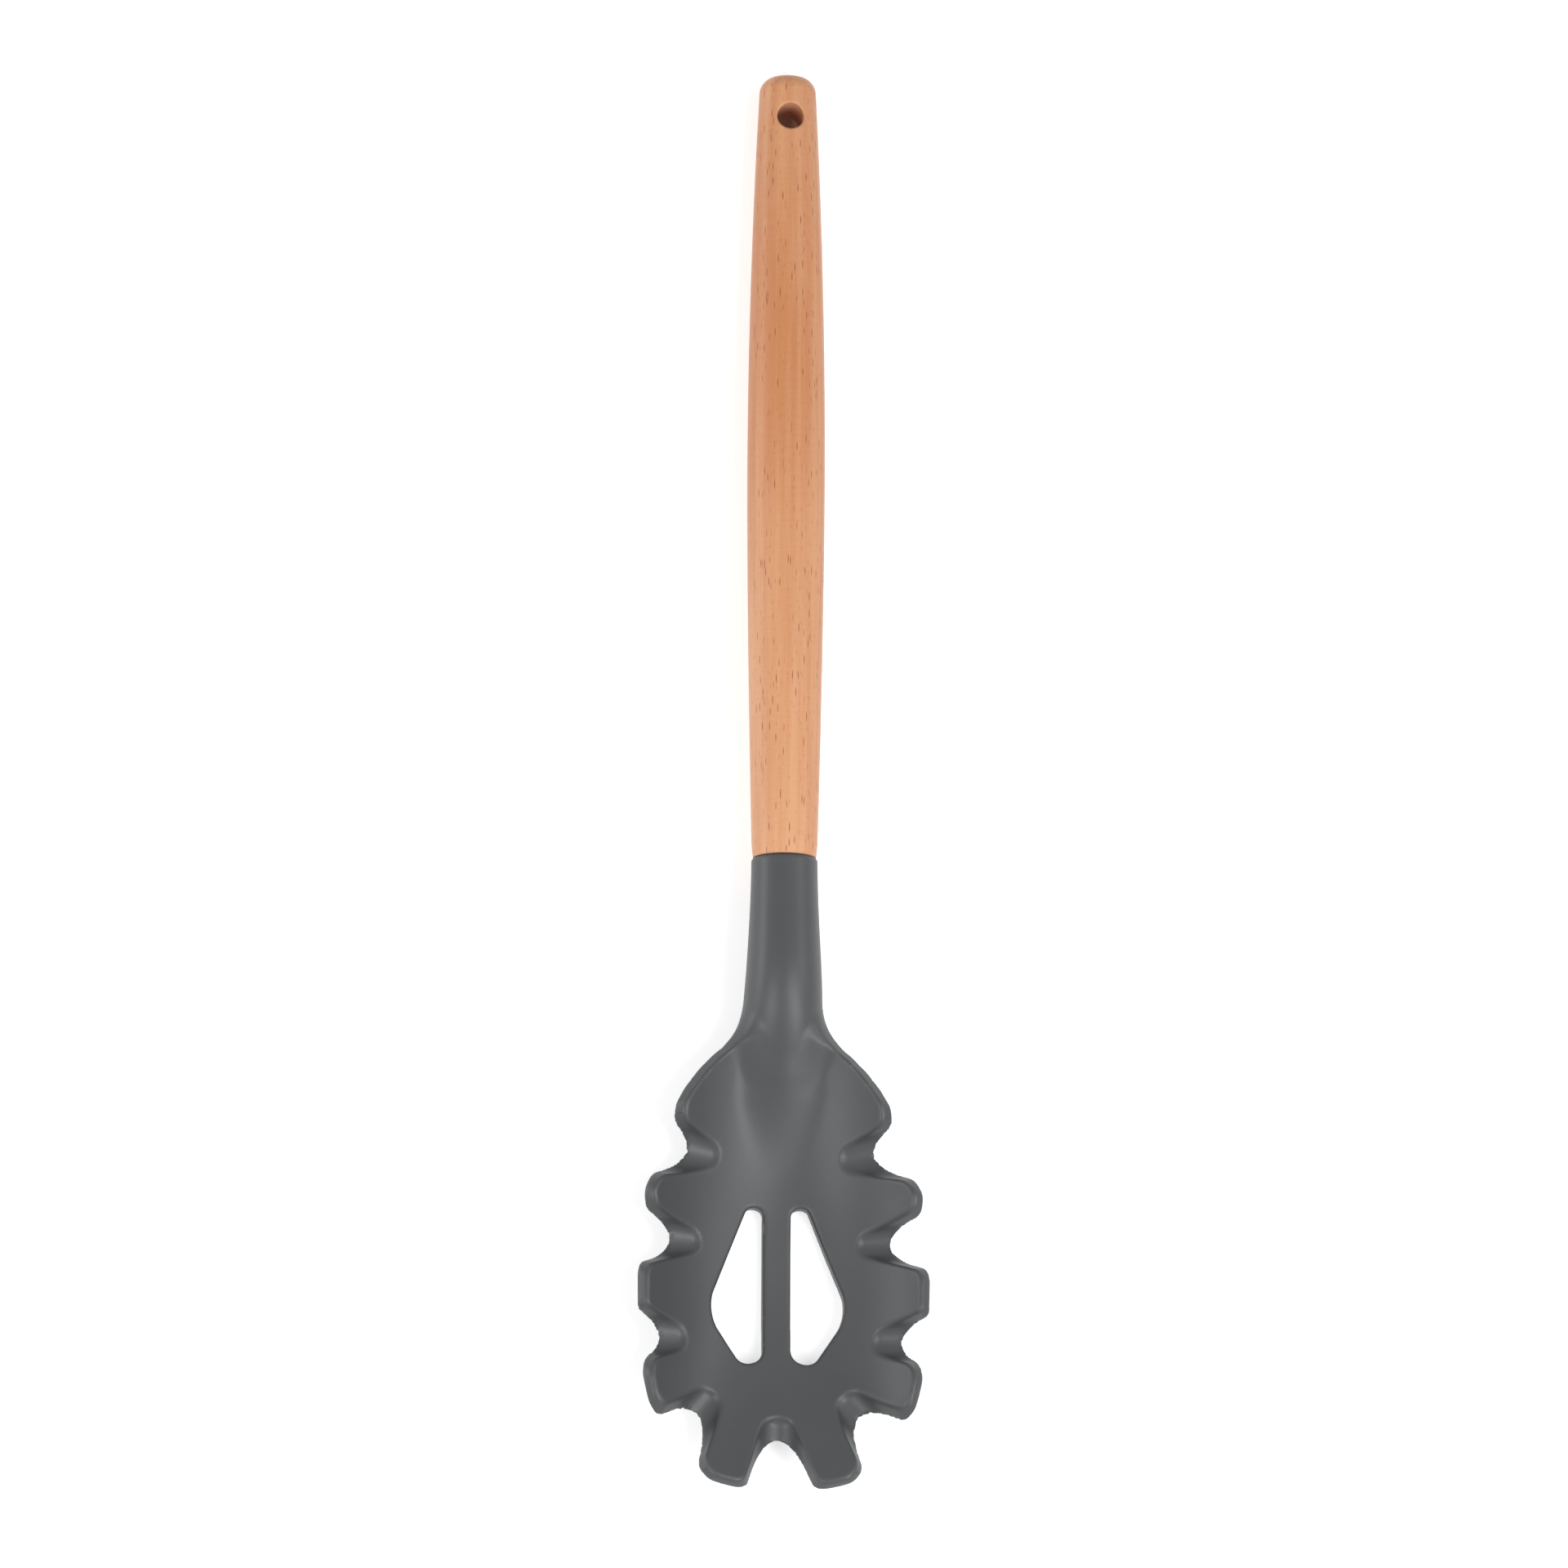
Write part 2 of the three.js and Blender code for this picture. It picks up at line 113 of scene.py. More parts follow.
class HeadSizes(bpy.types.PropertyGroup):
    """Sizes of the silicone head."""

    collar_radius: size("Collar radius", "Radius of the neck at the collar", 0.00762)
    collar_round: size("Collar round", "Rounding of the collar's edge", 0.0006)
    neck_length: size("Neck length", "Collar to the widest of the neck", 0.05)
    neck_swell: size("Neck swell", "How much the radius grows down the neck", 0.00195)
    sink_from: size("Sink from", "Where the neck starts to sink into the bowl", 0.018)
    sink_length: size("Sink length", "Length over which it tips to its full slope", 0.032)
    sink_slope: share("Sink slope", "Full slope of the sinking neck", 0.70)
    back_from: size("Back from", "Where the neck starts to leave its back to the keel", 0.026)
    back_length: size("Back length", "Length over which it does", 0.026)
    back_depth: size("Back depth", "Depth of the neck under the middle of the bowl's wall", 0.012)
    back_round: size("Back round", "Rounding of the neck's sunk edge", 0.002)
    keel_from: size("Keel from", "Where the keel leaves the back of the neck", 0.018)
    keel_to: size("Keel to", "Where the keel has run into the bowl's back", 0.068)
    keel_tip: size("Keel tip", "Radius of the keel's tip", 0.003)
    keel_blend: size("Keel blend", "Softness of the join of keel and neck", 0.0035)
    keel_blend_length: size("Keel blend length", "Length over which it softens", 0.02)
    blend: size("Blend", "Softness of the join of neck and bowl", 0.0072)
    blend_top: size("Blend on top", "Softness of the join on top of the neck", 0.002)
    blend_from: size("Blend from", "Where the soft join at the sides starts to end", 0.042)
    blend_length: size("Blend length", "Length over which it ends", 0.014)
    blend_side: size("Blend side", "How far from the middle the join softens to the sides", 0.0068)
    ridge_rise: size("Ridge rise", "Length over which the bowl takes up the neck's ridge", 0.012)
    ridge_from: size("Ridge from", "Where the ridge starts to spread", 0.042)
    ridge_length: size("Ridge length", "Length over which it spreads", 0.014)
    ridge_tight: size("Ridge tight", "Softness of the ridge at its start", 0.0035)
    ridge_soft: size("Ridge soft", "Softness of the ridge in the bowl", 0.0095)
    bowl_centre: size("Bowl centre", "Collar to the bowl's lowest point", 0.0938)
    bowl_width: size("Bowl width", "Width over the teeth along the bowl's skin", 0.0652)
    bowl_upper: size("Bowl upper length", "Lowest point to the neck end", 0.0547)
    bowl_lower: size("Bowl lower length", "Lowest point to the tip", 0.0514)
    upper_squareness: share("Upper squareness", "2 is an ellipse", 1.92)
    lower_squareness: share("Lower squareness", "2 is an ellipse", 3.1)
    floor_drop: size("Floor drop", "Handle's axis to the bowl's floor", 0.0115)
    side_rise: size("Side rise", "Rise of the sides above the floor", 0.0171)
    upper_rise: size("Upper rise", "Rise of the neck end", 0.0126)
    lower_rise: size("Lower rise", "Rise of the tip", 0.0115)
    dish_power: share("Dish power", "How late the bowl's wall rises", 2.4)
    wall: size("Wall", "Thickness at the floor", 0.004)
    rim_wall: size("Rim wall", "Thickness at the rim", 0.0032)
    rim_edge: size("Rim edge", "Rounding of the teeth's edges", 0.001)
    shoulder_edge: size("Shoulder edge", "Rounding of the rim beside the neck", 0.0004)
    shoulder_from: size("Shoulder from", "Bowl's lowest point to the start of the shoulders", 0.034)
    gap_edge: size("Gap edge", "Rounding where a tooth gap meets the bowl", 0.0005)
    slot_edge: size("Slot edge", "Rounding of the drain slots' edges", 0.0006)
    skin: size("Skin", "Thickness of silicone over the core", 0.0009)
    cell: size("Cell", "Fineness of the mesh", 0.00052, min=0.0003)
    core_cell: size("Core cell", "Fineness of the hollow for the core", 0.0013, min=0.0006)


class Finishes(bpy.types.PropertyGroup):
    """Colours of the pieces and of the stage."""

    beech_light: colour("Beech, light", "Pale wood", (0.70, 0.355, 0.185))
    beech_deep: colour("Beech, deep", "Warm bands in the wood", (0.56, 0.222, 0.088))
    beech_fleck: colour("Beech flecks", "Short dark flecks along the grain", (0.33, 0.078, 0.026))
    silicone: colour("Silicone", "Dark grey of the head", (0.0455, 0.0492, 0.0516))
    silicone_bloom: colour("Silicone bloom", "Paler grey drifting over it", (0.051, 0.0548, 0.0571))
    nylon: colour("Nylon", "Core inside the head", tuple(slots["nylon"]["base_color"]))
    adhesive: colour("Adhesive", "Film round the tenon", tuple(slots["adhesive"]["base_color"]))
    floor: colour("Floor", "Pale ground", (0.86, 0.86, 0.86))


class ServerSettings(bpy.types.PropertyGroup):
    """All settings of the server."""

    handle: PointerProperty(type=HandleSizes)
    head: PointerProperty(type=HeadSizes)
    finish: PointerProperty(type=Finishes)


# A gap between two teeth. It runs outwards, turned from +x, from a point that lies right and along
# from the bowl's lowest point. At its reach it has its radius, and its round bottom lies at floor
# above the bowl's floor and climbs by rise. It is cut from start outwards, and the corners of the
# teeth below and above it are rounded.
ToothGap = namedtuple(
    "ToothGap", "right along turn floor rise radius reach start lower_corner upper_corner"
)
SIDE_GAPS = (
    ToothGap(0.0, 0.0229, 7.5, 0.0052, 0.22, 0.0049, 0.018, 0.0134, 0.0035, 0.0045),
    ToothGap(0.0, 0.0056, 0.0, 0.0042, 0.26, 0.0037, 0.020, 0.0174, 0.0026, 0.0038),
    ToothGap(0.0, -0.0157, -3.1, 0.0059, 0.30, 0.0038, 0.022, 0.0208, 0.0040, 0.0014),
    ToothGap(0.0088, -0.0220, -52.5, 0.0039, 0.0, 0.0049, 0.014, 0.0085, 0.0045, 0.0036),
)
TIP_GAP = ToothGap(0.0, 0.0, -90.0, 0.0026, -0.09, 0.0052, 0.0392, 0.0340, 0.0020, 0.0020)
GAP_END_ROUND = 0.0025
GAP_FLARE = math.radians(21.4)
GAP_TAPER = math.tan(math.radians(10.5))
GAP_LEAST_RADIUS = 0.001
NO_GAP = -1.0
CORNER_SPREAD = 0.003
RIM_FADE = 0.003
SHOULDER_FADE = 0.006
# The wall keeps thinning a little past the rim, where the bowl's place is 1.
THINNING_END = 1.2
# Share of the blend's side that stays as tight as the top of the neck.
BLEND_START = 0.3
# The core's hollow is open over this stretch at the collar.
MOUTH_MIDDLE = -0.002
MOUTH_HALF = 0.004

# Corners of the right drain slot in plan, from the collar, and the round at each corner.
SLOT_CORNERS = (
    (0.0032, -0.0793), (0.0032, -0.1142), (0.0080, -0.1162), (0.0165, -0.1035), (0.0067, -0.0787),
)
SLOT_ROUNDS = (0.0015, 0.0018, 0.0025, 0.0040, 0.0018)
TINY = 1e-9

# The net that finds the head's surface: its room beyond the head, how many coarse cells from the
# surface it is worked out finely, and the least squared rise of the field where a point is moved.
SIDE_ROOM = 0.005
TIP_ROOM = 0.006
COLLAR_ROOM = 0.003
UNDER_ROOM = 0.004
OVER_ROOM = 0.006
NEAR = 1.8
LEAST_RISE = 0.2
HEAD_CREASE = math.radians(55)


def smooth(q):
    q = np.clip(q, 0, 1)
    return q * q * (3 - 2 * q)


def rounded_max(a, b, radius):
    """The larger of two fields, with a true round where their surfaces meet."""
    inner = np.minimum(np.maximum(a, b), -radius)
    return inner + np.hypot(np.maximum(a + radius, 0), np.maximum(b + radius, 0))


def soft_min(a, b, width):
    """The smaller of two fields, with a soft fillet."""
    h = np.clip(0.5 + 0.5 * (b - a) / width, 0, 1)
    return b + (a - b) * h - width * h * (1 - h)


def bowl_place(x, y, head):
    """Where a plan point lies, from 0 at the bowl's lowest point to 1 on its rim, and the rim's rise."""
    upper = y > -head.bowl_centre
    power = np.where(upper, head.upper_squareness, head.lower_squareness)
    across = np.abs(x) / (head.bowl_width / 2) + TINY
    along = np.abs(y + head.bowl_centre) / np.where(upper, head.bowl_upper, head.bowl_lower) + TINY
    radius = (across ** power + along ** power) ** (1 / power)
    side = across ** 2 / (across ** 2 + along ** 2)
    rise = head.side_rise * side + np.where(upper, head.upper_rise, head.lower_rise) * (1 - side)
    return radius, rise


def bowl_level(x, y, head):
    """Height of the middle of the bowl's wall."""
    radius, rise = bowl_place(x, y, head)
    return rise * radius ** head.dish_power - head.floor_drop - head.wall / 2


def slope(field, x, y, head, step=0.00005):
    """Slope of a plan field along x and y."""
    along_x = (field(x + step, y, head) - field(x - step, y, head)) / (2 * step)
    along_y = (field(x, y + step, head) - field(x, y - step, head)) / (2 * step)
    return along_x, along_y


def bowl_radius(x, y, head):
    return bowl_place(x, y, head)[0]


def gap_field(x, y, z, gap, head):
    """Inside of one tooth gap is negative. Also the distance across it."""
    turn = math.radians(gap.turn)
    out_x = x - gap.right
    out_y = y + head.bowl_centre - gap.along
    along = out_x * math.cos(turn) + out_y * math.sin(turn)
    across = out_y * math.cos(turn) - out_x * math.sin(turn)
    radius = np.maximum(gap.radius + GAP_TAPER * (along - gap.reach), GAP_LEAST_RADIUS)
    over = z + head.floor_drop - gap.floor - gap.rise * (along - gap.reach) - radius
    side = np.abs(across)
    up_wall = side * math.sin(GAP_FLARE) + over * math.cos(GAP_FLARE)
    wall = side * math.cos(GAP_FLARE) - over * math.sin(GAP_FLARE) - radius
    section = np.where(up_wall > 0, wall, np.hypot(side, over) - radius)
    return rounded_max(section, gap.start - along, GAP_END_ROUND), across


def slot_field(x, y):
    """Inside of the drain slot in plan is negative."""
    field = None
    for index, (ax, ay) in enumerate(SLOT_CORNERS):
        bx, by = SLOT_CORNERS[(index + 1) % len(SLOT_CORNERS)]
        length = math.hypot(bx - ax, by - ay)
        edge = ((x - ax) * (by - ay) - (y - ay) * (bx - ax)) / length
        field = edge if field is None else rounded_max(field, edge, SLOT_ROUNDS[index])
    return field


def neck_line(down, head):
    """Radius of the neck and height of its middle, which tips and sinks into the bowl."""
    radius = head.collar_radius + head.neck_swell * smooth(down / head.neck_length)
    part = np.maximum((down - head.sink_from) / head.sink_length, 0)
    curve = np.where(part < 1, part ** 3 - part ** 4 / 2, part - 0.5)
    return radius, -head.sink_slope * head.sink_length * curve


def ridge_over_bowl(x, y, head):
    """Height of the soft ridge over the bowl's face, where the neck sinks into it and dies away."""
    down = np.maximum(-y, 0)
    radius, middle = neck_line(down, head)
    above = middle + radius - x ** 2 / (2 * radius) - bowl_level(x, y, head) - head.wall / 2
    part = smooth((down - head.ridge_from) / head.ridge_length)
    soft = head.ridge_tight + (head.ridge_soft - head.ridge_tight) * part
    share_over = np.maximum(above / soft + 1, 0) / 2
    height = np.where(above > soft, above, soft * (2 * share_over ** 3 - share_over ** 4))
    return height * smooth((down - head.bowl_centre + head.bowl_upper) / head.ridge_rise)


def keel_field(x, down, z, off, head):
    """Inside of the keel is negative. It runs from the neck's back into the bowl's back."""
    root = head.collar_radius + head.neck_swell * smooth(head.keel_from / head.neck_length)
    foot = bowl_level(0.0, -head.keel_to, head) - head.wall / 2
    part = np.clip((down - head.keel_from) / (head.keel_to - head.keel_from), 0, 1)
    radius = root + (head.keel_tip - root) * part
    bottom = (foot + root) * part - root
    keel = np.hypot(x, z - bottom - radius) - radius
    keel = np.maximum(keel, np.maximum(head.keel_from - down, down - head.keel_to))
    return rounded_max(keel, off, head.back_round)


def neck_field(x, y, z, off, head):
    """Inside of the neck is negative. It sinks into the bowl and leaves its back to the keel."""
    down = np.maximum(-y, 0)
    radius, middle = neck_line(down, head)
    neck = np.hypot(x, z - middle) - radius
    neck = rounded_max(neck, y, head.collar_round)
    under = head.back_depth * (1 - smooth((down - head.back_from) / head.back_length))
    under = under + np.maximum(head.back_from - down, 0)
    neck = rounded_max(neck, -off - under, head.back_round)
    soft = TINY + head.keel_blend * smooth((down - head.keel_from) / head.keel_blend_length)
    return soft_min(neck, keel_field(x, down, z, off, head), soft)


def head_field(x, y, z, head):
    """The head's whole outside: negative inside, and about the distance to the surface."""
    slope_x, slope_y = slope(bowl_level, x, y, head)
    lean = np.sqrt(1 + slope_x ** 2 + slope_y ** 2)
    off = (z - bowl_level(x, y, head)) / lean
    foot_x = x + off * slope_x / lean
    foot_y = y + off * slope_y / lean
    radius = bowl_radius(foot_x, foot_y, head)
    thickness = head.wall + (head.rim_wall - head.wall) * np.clip(radius, 0, THINNING_END) ** 2
    slab = np.maximum(off - ridge_over_bowl(x, y, head) / lean, -off) - thickness / 2
    growth = np.hypot(*slope(bowl_radius, foot_x, foot_y, head))
    rim = (radius - 1) / np.maximum(growth, 1) * lean
    plan = rim
    gaps = np.full_like(rim, NO_GAP)
    side = np.abs(x)
    for gap in SIDE_GAPS + (TIP_GAP,):
        cut, across = gap_field(side if gap is not TIP_GAP else x, y, z, gap, head)
        spread = np.clip(across / CORNER_SPREAD + 0.5, 0, 1)
        corner = gap.lower_corner + (gap.upper_corner - gap.lower_corner) * spread
        plan = rounded_max(plan, -cut, corner)
        gaps = np.maximum(gaps, -cut)
    at_rim = smooth(0.5 + (rim - gaps) / RIM_FADE)
    shoulder = smooth((y + head.bowl_centre - head.shoulder_from) / SHOULDER_FADE)
    rim_edge = head.rim_edge + (head.shoulder_edge - head.rim_edge) * shoulder
    edge = head.gap_edge + (rim_edge - head.gap_edge) * at_rim
    dish = rounded_max(slab, plan, edge)
    dish = rounded_max(dish, -slot_field(side, y), head.slot_edge)
    sides = smooth(side / head.blend_side - BLEND_START)
    upper = 1 - smooth((-y - head.blend_from) / head.blend_length)
    blend = head.blend_top + (head.blend - head.blend_top) * sides * upper
    return soft_min(dish, neck_field(x, y, z, off, head), blend)


def core_field(x, y, z, head):
    """The hollow that takes the core, open at the collar."""
    hollow = head_field(x, y, z, head) + head.skin
    mouth = np.hypot(x, z) - head.collar_radius + head.skin
    mouth = np.maximum(mouth, np.abs(y - MOUTH_MIDDLE) - MOUTH_HALF)
    return np.minimum(hollow, mouth)


def grid_field(field, head, low, high, cell, stride=4):
    """The field on a grid of points. Those far from the surface keep a coarser grid's value."""
    axes = [np.arange(a, b + cell * stride, cell) for a, b in zip(low, high)]
    axes = [axis[: len(axis) // stride * stride] for axis in axes]
    coarse = [axis[stride // 2 :: stride] for axis in axes]
    values = field(*np.meshgrid(*coarse, indexing="ij"), head)
    for axis in range(3):
        values = np.repeat(values, stride, axis)
    near = np.argwhere(np.abs(values) < cell * stride * NEAR)
    points = [axes[axis][near[:, axis]] for axis in range(3)]
    values[tuple(near.T)] = field(*points, head)
    return axes, values


def net_mesh(field, head, low, high, cell):
    """Points and four-sided faces of the field's zero surface, one point in each cell it crosses."""
    axes, values = grid_field(field, head, low, high, cell)
    inside = values < 0
    shape = np.array(values.shape) - 1
    total = np.zeros((*shape, 3))
    count = np.zeros(shape, np.int16)
    for corner in np.ndindex(2, 2, 2):
        for axis in range(3):
            if corner[axis]:
                continue
            other = list(corner)
            other[axis] = 1
            a = values[tuple(slice(c, c + n) for c, n in zip(corner, shape))]
            b = values[tuple(slice(c, c + n) for c, n in zip(other, shape))]
            cross = (a < 0) != (b < 0)
            part = np.where(cross, a / np.where(cross, a - b, 1), 0)
            count += cross
            for place in range(3):
                total[..., place] += part if place == axis else cross * corner[place]
    cells = np.argwhere(count > 0)
    place = tuple(cells.T)
    numbers = np.full(count.shape, -1)
    numbers[place] = np.arange(len(cells))
    start = np.array([axis[0] for axis in axes])
    points = start + (cells + total[place] / count[place][:, None]) * cell
    faces = []
    for axis in range(3):
        a = inside.take(range(inside.shape[axis] - 1), axis)
        b = inside.take(range(1, inside.shape[axis]), axis)
        edges = np.argwhere(a != b)
        first, second = (axis + 1) % 3, (axis + 2) % 3
        ring = []
        for back_first, back_second in ((1, 1), (0, 1), (0, 0), (1, 0)):
            at = edges.copy()
            at[:, first] -= back_first
            at[:, second] -= back_second
            ring.append(numbers[tuple(at.T)])
        ring = np.stack(ring, 1)
        turned = ~a[tuple(edges.T)]
        ring[turned] = ring[turned][:, ::-1]
        faces.append(ring)
    return settle(points, field, head, cell), np.concatenate(faces)


def settle(points, field, head, cell, rounds=3, step=0.00002):
    """Moves points onto the field's zero surface."""
    for _ in range(rounds):
        value = field(*points.T, head)
        rise = [(field(*(points + step * way).T, head) - value) / step for way in np.eye(3)]
        rise = np.stack(rise, 1)
        move = value / np.maximum((rise ** 2).sum(1), LEAST_RISE)
        points = points - np.clip(move, -cell, cell)[:, None] * rise
    return points


def collar_place(handle):
    """The middle of the collar in the part's frame."""
    return Vector(HOLE["pos_m"]) - ALONG * (handle.length - handle.hole_setback)


def new_object(name, mesh):
    made = bpy.data.objects.new(name, mesh)
    bpy.context.scene.collection.objects.link(made)
    return made


def evaluated_mesh(maker, name):
    """A plain mesh of what an object's modifiers make, which are then removed."""
    graph = bpy.context.evaluated_depsgraph_get()
    mesh = bpy.data.meshes.new_from_object(maker.evaluated_get(graph))
    mesh.name = name
    maker.modifiers.clear()
    if not mesh.polygons:
        raise RuntimeError(f"{name} has no faces")
    return mesh


def net_object(name, field, settings, low, high, cell):
    points, faces = net_mesh(field, settings.head, low, high, cell)
    basis = np.array([RIGHT, ALONG, UP])
    points = np.array(collar_place(settings.handle)) + points @ basis
    mesh = bpy.data.meshes.new(name)
    mesh.from_pydata(points, [], faces)
    mesh.validate()
    return new_object(name, mesh)


class Term:
    """A number in a node tree, so that a rule is written as a sum and comes out as Math nodes."""

    def __init__(self, tree, socket):
        self.tree = tree
        self.socket = socket

    def apply(self, operation, *others):
        made = self.tree.nodes.new("ShaderNodeMath")
        made.operation = operation
        for socket, value in zip(made.inputs, (self, *others)):
            feed(self.tree, value, socket)
        return Term(self.tree, made.outputs[0])

    def __add__(self, other):
        return self.apply("ADD", other)

    def __sub__(self, other):
        return self.apply("SUBTRACT", other)

    def __mul__(self, other):
        return self.apply("MULTIPLY", other)

    def __truediv__(self, other):
        return self.apply("DIVIDE", other)

    def __pow__(self, other):
        return self.apply("POWER", other)

    def __neg__(self):
        return self.apply("MULTIPLY", -1)

    def __lt__(self, other):
        return self.apply("LESS_THAN", other)

    def one_less(self):
        return -self + 1

    def clip(self):
        return self.apply("MAXIMUM", 0).apply("MINIMUM", 1)

    def root(self):
        return self.apply("SQRT")

    def where(self, yes, no):
        return self * yes + self.one_less() * no


def feed(tree, value, socket):
    """Links a value to a socket, or sets it there."""
    value = value.socket if isinstance(value, Term) else value
    if isinstance(value, bpy.types.NodeSocket):
        tree.links.new(value, socket)
    else:
        socket.default_value = value


def add_node(tree, kind, inputs=None, **settings):
    """A node with its settings, and its inputs set or linked."""
    made = tree.nodes.new(kind)
    for key, value in settings.items():
        setattr(made, key, value)
    for key, value in (inputs or {}).items():
        feed(tree, value, made.inputs[key])
    return made


NODE_WIDTH = 200
NODE_HEIGHT = 180


def lay_out(tree):
    """Sets the nodes out in columns, from the inputs on the left."""
    depth = {}
    links = {}
    for link in tree.links:
        links.setdefault(link.to_node, []).append(link.from_node)

    def column(node):
        if node not in depth:
            depth[node] = 0
            depth[node] = 1 + max((column(source) for source in links.get(node, [])), default=-1)
        return depth[node]

    filled = {}
    for node in tree.nodes:
        at = column(node)
        node.location = (at * NODE_WIDTH, -filled.get(at, 0) * NODE_HEIGHT)
        filled[at] = filled.get(at, 0) + 1


HANDLE_INPUTS = (
    "length", "foot_radius", "foot_step", "foot_length", "swell_radius", "swell_at", "end_radius",
    "end_round", "end_flat", "seat", "tenon_radius", "tenon_length", "tenon_bevel", "hole_radius",
    "hole_setback", "hole_round",
)
HANDLE_COUNTS = ("rows", "sides")

# How the handle is turned: its rows, the bend of its curves, its seam, the drill and the creases.
FIRST_SIDE_ROW = 4
CLOSING_ROWS = 2
LOWER_CURVE = 1.6
UPPER_CURVE = 2
FOOT_CURVE = 1.4
SEAM_GAP = 0.000002
DRILL_SIDES = 96
DRILL_ROWS = 24
DRILL_DEPTH = 0.03
HANDLE_CREASE = math.radians(50)


def handle_tree():
    """Geometry nodes that turn the handle: a sheet of points, rolled round the axis by its radius."""
    tree = bpy.data.node_groups.new("turned_handle", "GeometryNodeTree")
    new_socket = tree.interface.new_socket
    for name in HANDLE_INPUTS:
        new_socket(name=name, in_out="INPUT", socket_type="NodeSocketFloat")
    for name in HANDLE_COUNTS:
        new_socket(name=name, in_out="INPUT", socket_type="NodeSocketInt")
    for name in ("collar", "right", "along", "up"):
        new_socket(name=name, in_out="INPUT", socket_type="NodeSocketVector")
    new_socket(name="beech", in_out="INPUT", socket_type="NodeSocketMaterial")
    new_socket(name="Geometry", in_out="OUTPUT", socket_type="NodeSocketGeometry")
    entry = tree.nodes.new("NodeGroupInput").outputs
    given = {name: Term(tree, entry[name]) for name in HANDLE_INPUTS + HANDLE_COUNTS}

    sheet = add_node(
        tree, "GeometryNodeMeshGrid",
        {"Size X": 1.0, "Size Y": 1.0, "Vertices X": entry["sides"], "Vertices Y": entry["rows"]},
    )
    position = add_node(tree, "GeometryNodeInputPosition").outputs[0]
    flat = add_node(tree, "ShaderNodeSeparateXYZ", {0: position})
    angle = (Term(tree, flat.outputs[0]) + 0.5) * (2 * math.pi)
    row = ((Term(tree, flat.outputs[1]) + 0.5) * (given["rows"] - 1)).apply("ROUND")

    # Rows 0 to 3 are the tenon. The last row closes the hanging end. The rows between lie closer
    # towards that end.
    part = ((row - FIRST_SIDE_ROW) / (given["rows"] - FIRST_SIDE_ROW - CLOSING_ROWS)).clip()
    side = given["length"] - (given["length"] - given["seat"]) * part.one_less() ** 2
    tenon_end = given["seat"] - given["tenon_length"]
    place = (row < 3.5).where(given["seat"], side)
    place = (row < 2.5).where(tenon_end + given["tenon_bevel"], place)
    place = (row < 1.5).where(tenon_end, place)
    lower = (side / given["swell_at"]).one_less().apply("MAXIMUM", 0) ** LOWER_CURVE
    past_swell = (side - given["swell_at"]) / (given["length"] - given["swell_at"])
    upper = past_swell.apply("MAXIMUM", 0) ** UPPER_CURVE
    foot = (side / given["foot_length"]).one_less().apply("MAXIMUM", 0) ** FOOT_CURVE
    turned = given["swell_radius"] - (given["swell_radius"] - given["foot_radius"]) * lower
    turned = turned - (given["swell_radius"] - given["end_radius"]) * upper
    turned = turned - given["foot_step"] * foot
    ending = ((side - given["length"]) / given["end_round"] + 1).clip()
    turned = given["end_flat"] + (turned - given["end_flat"]) * (ending ** 2).one_less().root()
    turned = (row < 3.5).where(given["tenon_radius"], turned)
    turned = (row < 1.5).where(given["tenon_radius"] - given["tenon_bevel"], turned)
    turned = turned * (row < 0.5).one_less() * (row < given["rows"] - 1.5)

    # The edge of the hanging hole is rounded over, above and below.
    across = turned * angle.apply("COSINE")
    over = turned * angle.apply("SINE")
    along_hole = place - given["length"] + given["hole_setback"]
    from_edge = (across ** 2 + along_hole ** 2).root() - given["hole_radius"]
    fall = (from_edge / given["hole_round"]).one_less().clip()
    drop = given["hole_round"] * (fall ** 2).one_less().root().one_less()
    over = over - drop * over.apply("SIGN")

    def scaled(vector, by):
        made = add_node(tree, "ShaderNodeVectorMath", {0: vector, "Scale": by}, operation="SCALE")
        return made.outputs[0]

    def summed(a, b):
        return add_node(tree, "ShaderNodeVectorMath", {0: a, 1: b}, operation="ADD").outputs[0]

    spot = summed(entry["collar"], scaled(entry["right"], across))
    spot = summed(summed(spot, scaled(entry["along"], place)), scaled(entry["up"], over))
    rolled = add_node(
        tree, "GeometryNodeSetPosition", {"Geometry": sheet.outputs[0], "Position": spot}
    )
    closed = add_node(
        tree, "GeometryNodeMergeByDistance", {"Geometry": rolled.outputs[0], "Distance": SEAM_GAP}
    )

